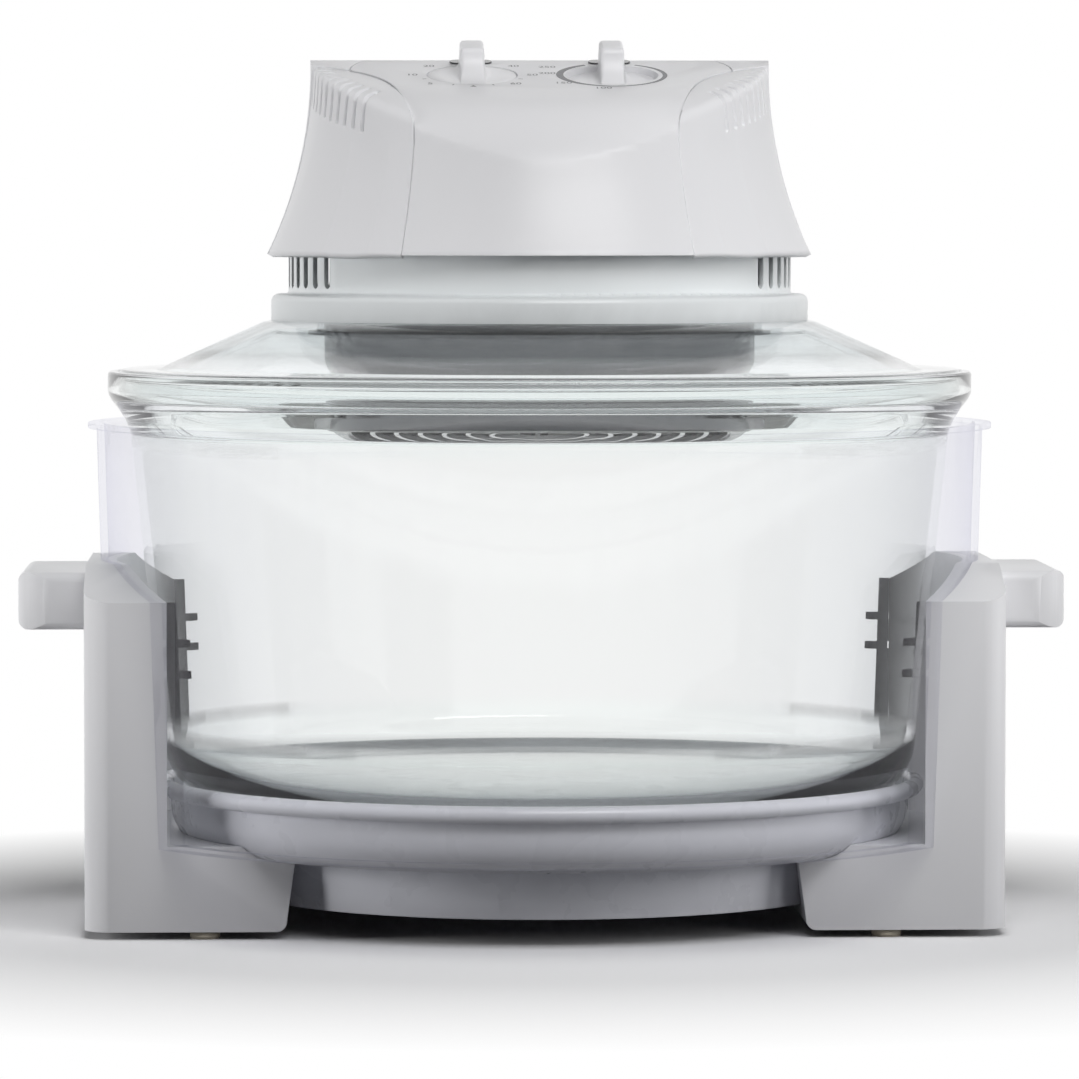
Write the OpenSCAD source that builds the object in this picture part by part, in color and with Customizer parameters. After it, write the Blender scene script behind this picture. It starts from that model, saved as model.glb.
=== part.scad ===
// Halogen oven: a glass bowl in a moulded stand with a clear guard, under a glass lid
// whose head carries the controls, motor, fans and ring lamp. Millimetres, +Z up, front
// towards -Y, origin on the table under the middle of the oven.

/* [Stand] */
// Thickness of a pillar beyond the guard
pillar_t = 7.8; // [7:0.1:14]
// Half depth of the pillars, where the guard's aprons start
pillar_y = 82; // [76:1:88]
// Corner radius of a pillar in plan
pillar_round = 12; // [6:1:16]
// Reach of a handle beyond the pillar
handle_reach = 26.7; // [20:0.1:36]
// Half depth of a handle
handle_y = 46; // [38:1:54]
// Height of the handle's top
handle_top = 139.6; // [132:0.5:141]
// Thickness of a handle
handle_t = 22.3; // [16:0.5:30]
// Corner radius of a handle in plan
handle_round = 14; // [6:1:20]
// Rounding of a handle's long edges
handle_edge = 4; // [2:0.5:7]
// Length of a foot, from the pillar's outer face inwards
foot_reach = 82; // [74:1:88]
// Height of a foot's top
foot_top = 36; // [33:0.5:40]
// Wall of the hollow foot
foot_wall = 3; // [2:0.5:4]
// Height of a rubber pad below the foot
pad_h = 3; // [2:0.5:5]
// Diameter of a rubber pad
pad_d = 11.5; // [8:0.5:16]

/* [Base tray] */
// How far the tray's wall stands inside the bowl's wall
tray_inset = 2.8; // [0:0.1:4]
// Height of the tray's underside, above the table
tray_bottom = 30; // [28:0.5:31]
// Radius of the corner under the tray's wall
tray_corner = 16; // [12:1:17]
// Thickness of the rolled rim
tray_rim = 6.6; // [5:0.2:8]
// How far the skirt ring stands inside the tray's wall
skirt_inset = 30; // [29:0.5:36]
// Height of the skirt's lower edge, above the table
skirt_bottom = 11; // [8:0.5:16]
// Wall of the tray
tray_wall = 3; // [2:0.5:4]

/* [Guard] */
// Clearance between the guard and the bowl's collar
guard_gap = 1.5; // [1:0.1:4]
// How much narrower the guard is at the foot of its aprons
guard_lean = 4.8; // [2:0.1:6]
// Height of the guard's top
guard_top = 196.8; // [190:0.2:197]
// Wall of the guard
guard_wall = 3; // [2:0.5:4]
// Reach of the top flange beyond the wall
guard_lip = 3.3; // [2:0.1:6]
// Thickness of the flanges
guard_flange = 2; // [1.5:0.5:3]
// Height of the side windows' upper edge above the handles
window_rise = 3.4; // [1.5:0.1:8]
// Height of the lower end of the sloped window corners
window_shoulder = 130; // [122:1:134]
// Half depth of the level part of the window's upper edge
window_flat = 45; // [30:1:60]
// Height of the aprons' lower edge
apron_bottom = 35; // [33:0.5:40]

/* [Bowl] */
// Height of the glass bottom's underside
bowl_bottom = 48; // [47:0.5:52]
// Radius of the bowl where the straight wall starts
bowl_r = 148.8; // [146:0.2:149]
// How much wider the bowl is under its collar
bowl_flare = 12.7; // [10:0.1:13]
// Height of the underside of the collar
bowl_neck = 193; // [188:0.5:195]
// Outer radius of the lower corner
bowl_corner = 22; // [16:1:26]
// Reach of the collar beyond the top of the wall
collar_reach = 9; // [8:0.1:11]
// Height of the bowl's rim
bowl_rim = 217; // [214:0.5:220]
// Wall of the bowl
bowl_wall = 3.5; // [3:0.1:4]
// Thickness of the bowl's bottom
bowl_base = 8; // [5:0.5:12]
// Height of the step that the lid stands on
collar_step = 206.7; // [205:0.1:208]

/* [Lid] */
// Width of the lid's level rim, from the collar inwards
lid_shoulder = 21.5; // [18:0.5:26]
// Slope of the conical part of the lid
cone_slope = 24; // [20:0.5:28]
// Thickness of the lid glass
lid_t = 4; // [3:0.2:5]
// Reach of the lower housing's flange ring beyond the neck
ring_reach = 6.8; // [5:0.2:8]
// Height of the flange ring
ring_h = 10.4; // [8:0.2:13]
// How much wider the slotted neck is than the cover's top
neck_reach = 8.8; // [7:0.2:11]
// Width of a vent slot
slot_w = 4.5; // [3:0.1:5]
// Vent slots on each side
slot_count = 13; // [9:1:15]
// Angle from the front to the first vent slot
slot_first = 57.9; // [54:0.1:62]
// How far the heater shroud stands inside the neck
shroud_inset = 14.2; // [13:0.2:18]
// Height of the shroud's lower lip
shroud_bottom = 214; // [212.5:0.5:216]
// Sheet thickness of the shroud and the reflector
sheet_t = 1.2; // [0.8:0.1:1.6]

/* [Head] */
// Height of the cover's lower edge
cover_bottom = 263; // [260:0.5:266]
// Radius of the cover just below its top edge
cover_top_r = 90.4; // [89:0.2:92]
// Radius of the concave flare of the cover
flare_r = 167; // [160:1:180]
// Height at which the flare ends
flare_top = 336.8; // [334:0.2:340]
// Height of the crest of the head
crest_z = 339.3; // [337:0.1:342]
// Slope of the control panel towards the front
panel_tilt = 13; // [10:0.5:15]
// Slope of the rear top
rear_tilt = 2.5; // [0.5:0.5:5]
// Wall of the cover
cover_wall = 2.5; // [2:0.1:3]
// Radius of the soft rounding between the panel's top and its front
panel_round = 42; // [38:1:44]
// Gap at the seams of the cover
seam = 0.5; // [0.3:0.1:0.8]
// Ribs' grooves in each quarter of the cover
rib_count = 10; // [6:1:10]
// Angle between grooves
rib_pitch = 3.6; // [3:0.1:3.8]
// Angle from the front to the first groove
rib_first = 50; // [49:0.5:52]
// Width of a groove
groove_w = 1.3; // [0.8:0.1:2]
// Depth of a groove
groove_depth = 1.4; // [0.8:0.1:1.6]
// Length of the ribs below the top edge
rib_drop = 15; // [10:0.5:20]

/* [Controls] */
// Distance of each knob from the middle
knob_x = 27.3; // [25:0.1:29]
// Distance of the knobs in front of the crest, along the panel
knob_y = 27.7; // [26.5:0.1:30]
// Diameter of a knob's disc
knob_d = 34.8; // [30:0.1:35.4]
// Width of a knob's bar
bar_w = 10; // [8:0.2:12]
// Height of a knob's bar above the panel
bar_h = 11.3; // [8:0.1:13]
// Diameter of the timer's well
timer_well_d = 35.8; // [35.6:0.1:36.4]
// Diameter of the thermostat's well
heat_well_d = 36.5; // [35.6:0.1:37]
// Depth of the wells in the panel
well_depth = 6; // [5:0.5:7]
// Diameter of the control spindles
spindle_d = 6; // [5:0.5:8]
// Length of an indicator lens
lens_l = 16.6; // [12:0.2:18]
// Width of an indicator lens
lens_w = 6.4; // [4:0.2:6.8]

/* [Drive and heater] */
// Diameter of the motor shaft
shaft_d = 8; // [6:0.5:10]
// Radius of the circulation fan
fan_r = 52; // [40:1:55]
// Blades of the circulation fan
fan_blades = 6; // [4:1:8]
// Radius of the cooling fan
cooler_r = 46; // [36:1:47]
// Blades of the cooling fan
cooler_blades = 12; // [8:1:16]
// Side of the motor's stator
stator_side = 58; // [48:1:64]
// Height of the motor's stator
stator_h = 20; // [14:1:22]
// Radius of the lamp ring
lamp_r = 67; // [64:0.5:69]
// Diameter of the lamp tube
lamp_d = 10; // [8:0.5:11]

/* [Hidden] */
$fn = 96;
fine = 160;

// Clearances: parts that rest, parts that turn, parts of one body side by side
rest_gap = 0.3;
run_gap = 0.05;
side_gap = 0.2;

// Radii and places that follow one another, from the bowl outwards and from the cover down
bowl_top_r = bowl_r + bowl_flare;
collar_r = bowl_top_r + collar_reach;
guard_r = collar_r + guard_gap + guard_wall;
guard_foot_r = guard_r - guard_lean;
tray_r = bowl_r - tray_inset;
skirt_r = tray_r - skirt_inset;
pillar_x = guard_foot_r + pillar_t;
handle_x = pillar_x + handle_reach;
foot_inner_x = pillar_x - foot_reach;
window_top = handle_top + window_rise;
neck_r = cover_top_r + neck_reach;
ring_r = neck_r + ring_reach;
cone_top_r = ring_r + 3;
cone_r = collar_r - lid_shoulder;
shroud_r = neck_r - shroud_inset;

// Colours
white = [0.93, 0.93, 0.95];
cool_white = [0.88, 0.90, 0.91];
clear = [0.88, 0.88, 0.95, 0.35];
glass = [0.82, 0.88, 0.86, 0.4];
steel = [0.72, 0.72, 0.74];
dark_steel = [0.32, 0.32, 0.34];
copper = [0.72, 0.42, 0.24];
beige = [0.86, 0.82, 0.72];
black = [0.12, 0.12, 0.13];

module ring(r_out, r_in, z0, z1) {
  difference() {
    translate([0, 0, z0]) cylinder(r = r_out, h = z1 - z0, $fn = fine);
    translate([0, 0, z0 - 1]) cylinder(r = r_in, h = z1 - z0 + 2, $fn = fine);
  }
}

module four_corners(x, y) {
  for (sx = [-1, 1], sy = [-1, 1]) translate([sx * x, sy * y, 0]) children();
}

// Base tray. The outline takes a growth, so that the feet and the tray's own inner
// faces follow the same shape.
tray_shoulder = bowl_bottom - 2;
rim_r = tray_r + 6 - tray_rim / 2;
rim_z = bowl_bottom + 9 - tray_rim / 2;
skirt_lean = 2;

module tray_outline(grow) {
  corner = tray_corner + grow;
  centre_r = tray_r - tray_corner;
  centre_z = tray_bottom + tray_corner;
  translate([0, tray_bottom - grow]) square([centre_r, centre_z - tray_bottom + 2 * grow]);
  intersection() {
    translate([centre_r, centre_z]) circle(r = corner);
    square([tray_r * 2, centre_z]);
  }
  translate([0, centre_z]) square([tray_r + grow, rim_z - centre_z]);
  polygon([[0, skirt_bottom - grow], [skirt_r + grow, skirt_bottom - grow],
      [skirt_r + skirt_lean + grow, tray_bottom], [0, tray_bottom]]);
}

screw_x = skirt_r - 2.5;
screw_y = 55;
screw_d = 4;
screw_head = 8;
boss_d = 9;

module base_tray() {
  color(white) difference() {
    union() {
      rotate_extrude($fn = fine) difference() {
        union() {
          tray_outline(0);
          translate([rim_r, rim_z]) circle(r = tray_rim / 2);
        }
        bowl_outline(rest_gap);
        translate([0, rim_z - tray_rim / 2]) square([rim_r - tray_rim / 2, tray_rim * 3]);
        difference() {
          tray_outline(-tray_wall);
          bowl_outline(rest_gap + tray_wall);
          translate([0, tray_shoulder]) square([tray_r * 2, tray_rim * 3]);
        }
        translate([0, skirt_bottom - 1])
            square([skirt_r - tray_wall, tray_bottom - skirt_bottom + 2 * tray_wall]);
      }
      four_corners(screw_x, screw_y) translate([0, 0, tray_bottom + 1])
          cylinder(d = boss_d, h = bowl_bottom - rest_gap - tray_bottom - 2, $fn = 48);
    }
    four_corners(screw_x, screw_y) translate([0, 0, tray_bottom - 1])
        cylinder(d = screw_d + 2 * run_gap, h = 11, $fn = 48);
  }
}

// Supports: handle, pillar and hollow foot in one moulding
pad_x = pillar_x - 46.4;
pad_y = pillar_y - 7.5;
pad_plug_d = 6;
pad_plug_h = 4;
foot_slant = 4;
foot_round = 4;
cavity_roof = tray_bottom - side_gap - foot_wall;

module window_outline(grow) {
  polygon([[-pillar_y - grow, -1], [-pillar_y - grow, window_shoulder + grow / 2],
      [-window_flat, window_top + grow], [window_flat, window_top + grow],
      [pillar_y + grow, window_shoulder + grow / 2], [pillar_y + grow, -1]]);
}

// Upright plate with the outline drawn in depth and height
module along_x(length) {
  rotate([90, 0, 90]) linear_extrude(length) children();
}

module pillar_plan() {
  translate([foot_inner_x, -pillar_y])
      square([pillar_x - foot_inner_x - pillar_round, 2 * pillar_y]);
  translate([foot_inner_x, -pillar_y + pillar_round])
      square([pillar_x - foot_inner_x, 2 * (pillar_y - pillar_round)]);
  for (s = [-1, 1]) translate([pillar_x - pillar_round, s * (pillar_y - pillar_round)])
      circle(r = pillar_round);
}

module handle() {
  depth = handle_x - pillar_x + 20;
  intersection() {
    translate([0, 0, handle_top - handle_t]) linear_extrude(handle_t) {
      translate([handle_x - depth, -handle_y]) square([depth - handle_round, 2 * handle_y]);
      translate([handle_x - depth, -handle_y + handle_round])
          square([depth, 2 * (handle_y - handle_round)]);
      for (s = [-1, 1]) translate([handle_x - handle_round, s * (handle_y - handle_round)])
          circle(r = handle_round);
    }
    translate([handle_x - depth, 0, 0]) along_x(depth)
        rounded_slab(handle_y, handle_top - handle_t, handle_top);
    translate([0, handle_y, 0]) rotate([90, 0, 0]) linear_extrude(2 * handle_y)
        rounded_slab(handle_x, handle_top - handle_t, handle_top);
  }
}

// Rectangle from -half to half, with rounded corners
module rounded_slab(half, z0, z1) {
  translate([-half + handle_edge, z0]) square([2 * (half - handle_edge), z1 - z0]);
  translate([-half, z0 + handle_edge]) square([2 * half, z1 - z0 - 2 * handle_edge]);
  for (s = [-1, 1], z = [z0 + handle_edge, z1 - handle_edge])
      translate([s * (half - handle_edge), z]) circle(r = handle_edge);
}

module support() {
  inner_r = guard_foot_r - guard_wall;
  difference() {
    union() {
      intersection() {
        translate([0, 0, pad_h]) linear_extrude(window_top) pillar_plan();
        along_x(pillar_x + 1) window_outline(-side_gap);
        // Inner end of the foot, leaning inwards with a rounded lower corner
        translate([0, pillar_y + 1, 0]) rotate([90, 0, 0]) linear_extrude(2 * pillar_y + 2) {
          low = pad_h + foot_round;
          polygon([[foot_inner_x + foot_slant, low], [foot_inner_x, foot_top],
              [foot_inner_x, window_top + 9], [pillar_x + 1, window_top + 9],
              [pillar_x + 1, low]]);
          translate([foot_inner_x + foot_slant + foot_round, pad_h])
              square([pillar_x, foot_round]);
          translate([foot_inner_x + foot_slant + foot_round, low]) circle(r = foot_round);
        }
      }
      handle();
    }
    translate([0, 0, foot_top]) cylinder(r = inner_r, h = 200, $fn = fine);
    rotate_extrude($fn = fine) {
      tray_outline(side_gap);
      translate([rim_r, rim_z]) circle(r = tray_rim / 2 + side_gap);
    }
    // Hollow underside of the foot
    difference() {
      intersection() {
        translate([0, 0, pad_h - 1]) cylinder(r = inner_r - 1, h = cavity_roof - pad_h + 1, $fn = fine);
        translate([foot_inner_x + foot_slant + foot_wall, foot_wall - pillar_y, 0])
            cube([pillar_x, 2 * (pillar_y - foot_wall), cavity_roof]);
      }
      translate([0, 0, pad_h - 2]) cylinder(r = skirt_r + skirt_lean + side_gap + foot_wall,
          h = cavity_roof, $fn = fine);
      for (s = [-1, 1]) translate([pad_x, s * pad_y, 0]) cylinder(d = pad_d + 3, h = 60, $fn = 48);
    }
    for (s = [-1, 1]) {
      translate([pad_x, s * pad_y, pad_h - 1])
          cylinder(d = pad_plug_d + 2 * run_gap, h = pad_plug_h + 1 + side_gap, $fn = 48);
      translate([screw_x, s * screw_y, 10]) cylinder(d = screw_d + 0.4, h = 40, $fn = 48);
    }
  }
}

module right_support() {
  color(white) support();
}

module left_support() {
  color(white) mirror([1, 0, 0]) support();
}

module rubber_pads() {
  color(beige) four_corners(pad_x, pad_y) {
    cylinder(d1 = pad_d - 1.5, d2 = pad_d, h = 1, $fn = 48);
    translate([0, 0, 1]) cylinder(d = pad_d, h = pad_h - 1, $fn = 48);
    cylinder(d = pad_plug_d, h = pad_h + pad_plug_h, $fn = 48);
  }
}

module support_screws() {
  color(steel) four_corners(screw_x, screw_y) difference() {
    union() {
      translate([0, 0, cavity_roof - 2.4]) cylinder(d = screw_head, h = 2.4, $fn = 48);
      translate([0, 0, cavity_roof - 1]) cylinder(d = screw_d, h = 14, $fn = 48);
    }
    translate([-3, -0.5, cavity_roof - 3]) cube([6, 1, 1.6]);
    translate([-0.5, -3, cavity_roof - 3]) cube([1, 6, 1.6]);
  }
}

// Guard: one clear moulding. Its wall leans in towards the foot.
function guard_at(z) = guard_foot_r + (guard_r - guard_foot_r) * (z - apron_bottom)
    / (guard_top - apron_bottom);
apron_flange = 5;
clip_z = [101, 113];
clip_h = 3;

module guard_band(r_shift, wall, z0, z1) {
  rotate_extrude($fn = fine) polygon([
      [guard_at(z0) - r_shift, z0], [guard_at(z1) - r_shift, z1],
      [guard_at(z1) - r_shift - wall, z1], [guard_at(z0) - r_shift - wall, z0]]);
}

module guard() {
  lap = 0.5;
  color(clear) {
    difference() {
      union() {
        guard_band(0, guard_wall, apron_bottom, guard_top);
        ring(guard_r + guard_lip, guard_r - guard_wall, guard_top - guard_flange, guard_top);
        // Inward flange along the aprons' lower edge
        guard_band(guard_wall - lap, apron_flange + lap, apron_bottom, apron_bottom + guard_flange);
      }
      translate([-250, 0, 0]) along_x(500) window_outline(0);
    }
    // Flanges along the upright edges of the aprons
    for (s = [-1, 1]) intersection() {
      guard_band(guard_wall - lap, apron_flange + lap, apron_bottom, window_shoulder);
      translate([-250, s * (pillar_y + guard_flange / 2) - guard_flange / 2, 0])
          cube([500, guard_flange, 300]);
    }
    // Clip tabs on those flanges
    for (s = [-1, 1], z = clip_z) intersection() {
      guard_band(guard_wall - lap, apron_flange + lap + 3, z, z + clip_h);
      translate([-250, s * (pillar_y + guard_flange) - guard_flange, 0])
          cube([500, guard_flange * 2, 300]);
    }
  }
}

// Bowl. The outline takes a growth for the tray that it stands in.
bowl_shoulder = bowl_bottom + bowl_corner;
collar_round = 8;
collar_wall = 4;
flare_z = bowl_neck + 9;

module bowl_outline(grow) {
  centre_r = bowl_r - bowl_corner;
  translate([0, bowl_bottom - grow]) square([centre_r, bowl_corner + grow]);
  intersection() {
    translate([centre_r, bowl_shoulder]) circle(r = bowl_corner + grow);
    square([bowl_r * 2, bowl_shoulder]);
  }
  polygon([[0, bowl_shoulder], [bowl_r + grow, bowl_shoulder], [bowl_top_r + grow, bowl_neck],
      [bowl_top_r + 2.1 + grow, bowl_neck + 5], [bowl_top_r + 4.5 + grow, flare_z],
      [collar_r - 1, flare_z + 4], [collar_r - 1, bowl_rim], [0, bowl_rim]]);
  translate([collar_r - collar_round, flare_z + 7]) circle(r = collar_round + grow);
  translate([collar_r - collar_round, flare_z + 7])
      square([collar_round + grow, bowl_rim - flare_z - 7 - 1]);
  translate([collar_r - 1, bowl_rim - 1]) circle(r = 1);
}

module bowl_hollow() {
  corner = bowl_corner - bowl_wall;
  centre_r = bowl_r - bowl_wall - corner;
  inner_z = bowl_bottom + bowl_base + corner;
  translate([0, bowl_bottom + bowl_base]) square([centre_r, corner]);
  intersection() {
    translate([centre_r, inner_z]) circle(r = corner);
    square([bowl_r * 2, inner_z]);
  }
  polygon([[0, inner_z], [centre_r + corner, inner_z], [bowl_top_r - bowl_wall, bowl_neck],
      [bowl_top_r - bowl_wall + 1.5, bowl_neck + 6], [bowl_top_r - bowl_wall + 1.5, bowl_rim + 1],
      [0, bowl_rim + 1]]);
  translate([0, collar_step]) square([collar_r - collar_wall, bowl_rim]);
}

module glass_bowl() {
  color(glass) rotate_extrude($fn = fine) difference() {
    bowl_outline(0);
    bowl_hollow();
  }
}

// Lid glass: a level inner land, a cone, and a rim that stands on the bowl's step
ring_bottom = bowl_rim + 20;
land_top = ring_bottom;
cone_low_z = land_top - 0.6 - (cone_r - cone_top_r) * tan(cone_slope);
lid_edge_r = collar_r - collar_wall - 0.7;
lid_foot_w = 5;
lid_land = cone_low_z - 0.8;
hole_r = shroud_r + 3;
drop = lid_t / cos(cone_slope);

module lid_glass() {
  color(glass) rotate_extrude($fn = fine) polygon([
      [hole_r, land_top], [cone_top_r - 3, land_top], [cone_top_r, land_top - 0.6],
      [cone_r, cone_low_z], [cone_r + 3, lid_land], [lid_edge_r - 1, lid_land],
      [lid_edge_r, lid_land - 1], [lid_edge_r, collar_step + rest_gap],
      [lid_edge_r - lid_foot_w, collar_step + rest_gap],
      [lid_edge_r - lid_foot_w, lid_land - lid_t], [cone_r + 1, lid_land - lid_t],
      [cone_top_r, land_top - 0.6 - drop], [cone_top_r - 4, land_top - lid_t],
      [hole_r, land_top - lid_t]]);
}

gasket_t = 2;

module lid_gasket() {
  color(beige) ring(neck_r + 4, hole_r + 2, land_top, land_top + gasket_t);
}

// Lower housing: flange ring, slotted neck and the floor that carries the motor
floor_z = ring_bottom + ring_h;
floor_t = 2;
floor_top = floor_z + floor_t;
neck_wall = 2;
neck_fit = 0.2;
flare_x = cover_top_r + flare_r;
inner_flare = flare_r + cover_wall;
neck_top = flare_top - sqrt(pow(inner_flare, 2) - pow(flare_x - neck_r - neck_fit, 2));
shaft_hole = shaft_d / 2 + 6;
ring_round = 3;
slot_span = (180 - 2 * slot_first) / (slot_count - 1);
slot_low = floor_top + 0.4;
slot_high = cover_bottom + 5;
fix_head = 8;
fix_r = shroud_r - sheet_t - fix_head / 2 - 0.8;
fix_angle = 38;
fix_x = fix_r * cos(fix_angle);
fix_y = fix_r * sin(fix_angle);
fix_d = 4;
fix_hole = fix_d + 0.4;
fix_grip = 12;

module lower_housing() {
  color(cool_white) difference() {
    rotate_extrude($fn = fine) difference() {
      union() {
        translate([0, ring_bottom]) square([ring_r, ring_h - ring_round]);
        translate([0, ring_bottom]) square([ring_r - ring_round, ring_h]);
        translate([ring_r - ring_round, floor_z - ring_round]) circle(r = ring_round);
        translate([0, floor_z - 1]) square([neck_r, neck_top - floor_z + 1]);
        // Small fillet between ring and neck
        difference() {
          translate([neck_r - 1, floor_z - 1]) square([2.2, 2.2]);
          translate([neck_r + 1.2, floor_z + 1.2]) circle(r = 1.2);
        }
      }
      translate([0, floor_top]) square([neck_r - neck_wall, 100]);
      translate([0, ring_bottom - 1]) square([hole_r + 0.5, ring_h + 1]);
      translate([0, ring_bottom - 1]) square([neck_r + 4 + side_gap, 1 + gasket_t]);
      square([shaft_hole, 400]);
    }
    for (s = [0, 180], i = [0 : slot_count - 1])
      rotate([0, 0, slot_first + i * slot_span - 90 + s]) translate([neck_r - 12, 0, 0])
          upright_slot(slot_w, slot_low, slot_high, 24);
    four_corners(fix_x, fix_y) translate([0, 0, floor_z - 1])
        cylinder(d = fix_hole, h = 4, $fn = 48);
  }
}

// Slot with round ends, standing upright and reaching along X
module upright_slot(width, z0, z1, reach) {
  translate([0, -width / 2, z0 + width / 2]) cube([reach, width, z1 - z0 - width]);
  for (z = [z0 + width / 2, z1 - width / 2])
    translate([0, 0, z]) rotate([0, 90, 0]) cylinder(d = width, h = reach, $fn = 48);
}

// Heater shroud: a pan open below, whose bead holds the lid glass from beneath
shroud_round = 8;
bead_t = 1.4;
bead_z = land_top - lid_t - side_gap - bead_t;
lip_w = 9;
lip_r = shroud_r - shroud_round - 1;

module shroud_outline(inset) {
  r = shroud_r - inset;
  centre_z = shroud_bottom + shroud_round;
  translate([0, centre_z]) square([r, floor_z - centre_z - inset]);
  intersection() {
    translate([shroud_r - shroud_round, centre_z]) circle(r = shroud_round - inset);
    square([r * 2, centre_z]);
  }
  translate([0, shroud_bottom + inset]) square([shroud_r - shroud_round, shroud_round - inset]);
}

module heater_shroud() {
  color(dark_steel) difference() {
    rotate_extrude($fn = fine) {
      difference() {
        shroud_outline(0);
        shroud_outline(sheet_t);
        translate([0, shroud_bottom - 1]) square([lip_r, 20]);
        translate([0, floor_z - 20]) square([shroud_r - lip_w, 40]);
      }
      translate([shroud_r - sheet_t / 2, bead_z]) square([7, bead_t]);
    }
    four_corners(fix_x, fix_y) translate([0, 0, floor_z - 3])
        cylinder(d = fix_hole, h = 4, $fn = 48);
  }
}

reflector_z = shroud_bottom + 19.5;
reflector_foot_r = shroud_r - 15;
module reflector_plate() {
  color(steel) difference() {
    union() {
      translate([0, 0, reflector_z]) cylinder(r = shroud_r - sheet_t - side_gap, h = sheet_t, $fn = fine);
      // Three feet reach up to the floor of the housing
      for (a = [30, 150, 270]) rotate([0, 0, a]) translate([reflector_foot_r, -6, reflector_z])
          cube([sheet_t, 12, floor_z - reflector_z]);
    }
    translate([0, 0, reflector_z - 1]) cylinder(r = shaft_hole - 2, h = 4);
  }
}

// Ring lamp, with its gap at the rear
lamp_z = shroud_bottom + 11;
lamp_gap = 40;
cap_d = 13;
cap_l = 16;
clip_t = 0.8;

module halogen_lamp() {
  color(clear) translate([0, 0, lamp_z]) rotate([0, 0, 90 + lamp_gap / 2])
      rotate_extrude(angle = 360 - lamp_gap, $fn = fine) translate([lamp_r, 0])
          circle(d = lamp_d, $fn = 48);
}

// The caps close the tube's ends and hang from the reflector on a stem
module lamp_caps() {
  color(cool_white) for (s = [-1, 1]) rotate([0, 0, s * lamp_gap / 2]) {
    translate([0, lamp_r, lamp_z]) rotate([0, -90 * s, 0]) translate([0, 0, -cap_l])
        cylinder(d = cap_d, h = cap_l, $fn = 48);
    translate([s * cap_l / 2 - 3, lamp_r - 3, lamp_z])
        cube([6, 6, reflector_z - lamp_z]);
  }
}

module lamp_clips() {
  hold = lamp_d / 2 + run_gap;
  color(steel) for (a = [-90, 10, 170]) rotate([0, 0, a]) translate([lamp_r, 0, lamp_z])
    difference() {
      union() {
        rotate([90, 0, 0]) translate([0, 0, -4]) cylinder(r = hold + clip_t, h = 8, $fn = 48);
        translate([-clip_t, -4, 0]) cube([2 * clip_t, 8, reflector_z - lamp_z]);
      }
      rotate_extrude_bend(hold);
      translate([-20, -10, -20]) cube([40, 20, 20 - 2]);
    }
}

// The tube's own path, cut out of a clip
module rotate_extrude_bend(radius) {
  translate([-lamp_r, 0, 0]) rotate_extrude($fn = fine) translate([lamp_r, 0])
      circle(r = radius, $fn = 48);
}

// Guard grille under the lamp: rings on radial bars
grille_rings = 7;
grille_w = 2;
grille_r = lip_r + 1;
grille_first = 20;
grille_spokes = 8;

module lamp_guard() {
  z = shroud_bottom + sheet_t;
  step = (grille_r - grille_first) / (grille_rings - 1);
  color(steel) {
    for (i = [0 : grille_rings - 1])
      ring(grille_first + i * step, grille_first + i * step - grille_w, z, z + grille_w);
    for (i = [0 : grille_spokes - 1]) rotate([0, 0, i * 360 / grille_spokes])
      translate([grille_first - grille_w, -grille_w / 2, z + grille_w / 2])
          cube([grille_r - grille_first + grille_w / 2, grille_w, grille_w]);
  }
}

// Drive: one shaft carries the circulation fan, the cooling fan and the rotor
shaft_low = shroud_bottom + 7;
shaft_clear = 40;
shaft_high = crest_z - shaft_clear;
hub_r = 9;
fan_z = shroud_bottom + 9;
fan_h = 8;
fan_pitch = 32;

module motor_shaft() {
  color(steel) translate([0, 0, shaft_low]) cylinder(d = shaft_d, h = shaft_high - shaft_low);
}

module circulation_fan() {
  blade_t = 1;
  color(steel) difference() {
    union() {
      translate([0, 0, fan_z]) cylinder(r = hub_r, h = fan_h);
      intersection() {
        for (i = [0 : fan_blades - 1]) rotate([0, 0, i * 360 / fan_blades])
          translate([0, 0, fan_z + fan_h / 2]) rotate([fan_pitch, 0, 0])
              translate([4, -11, -blade_t / 2]) cube([fan_r, 22, blade_t]);
        translate([0, 0, fan_z]) cylinder(r = fan_r, h = fan_h, $fn = fine);
      }
    }
    translate([0, 0, fan_z - 1]) cylinder(d = shaft_d + 2 * run_gap, h = fan_h + 2);
  }
}

cooler_z = floor_top + 2.5;
cooler_h = 8;
module cooling_fan() {
  color(black) difference() {
    union() {
      translate([0, 0, cooler_z]) cylinder(r = hub_r, h = cooler_h);
      translate([0, 0, cooler_z + cooler_h - 1.2]) cylinder(r = cooler_r, h = 1.2, $fn = fine);
      for (i = [0 : cooler_blades - 1]) rotate([0, 0, i * 360 / cooler_blades])
        translate([hub_r - 2, -0.6, cooler_z]) cube([cooler_r - hub_r + 0.5, 1.2, cooler_h]);
    }
    translate([0, 0, cooler_z - 1]) cylinder(d = shaft_d + 2 * run_gap, h = cooler_h + 2);
  }
}

// Motor on its bracket, above the cooling fan
bracket_z = cooler_z + cooler_h + 3;
bracket_t = 2;
bridge_z = bracket_z + bracket_t;
bridge_t = 3;
post_h = 3;
stator_z = bridge_z + bridge_t + post_h;
stator_top = stator_z + stator_h;
rotor_r = 13;
motor_x = stator_side / 2 - 6;
leg_x = cooler_r + 4;
leg_y = 24;
motor_screw_d = 4;

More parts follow.
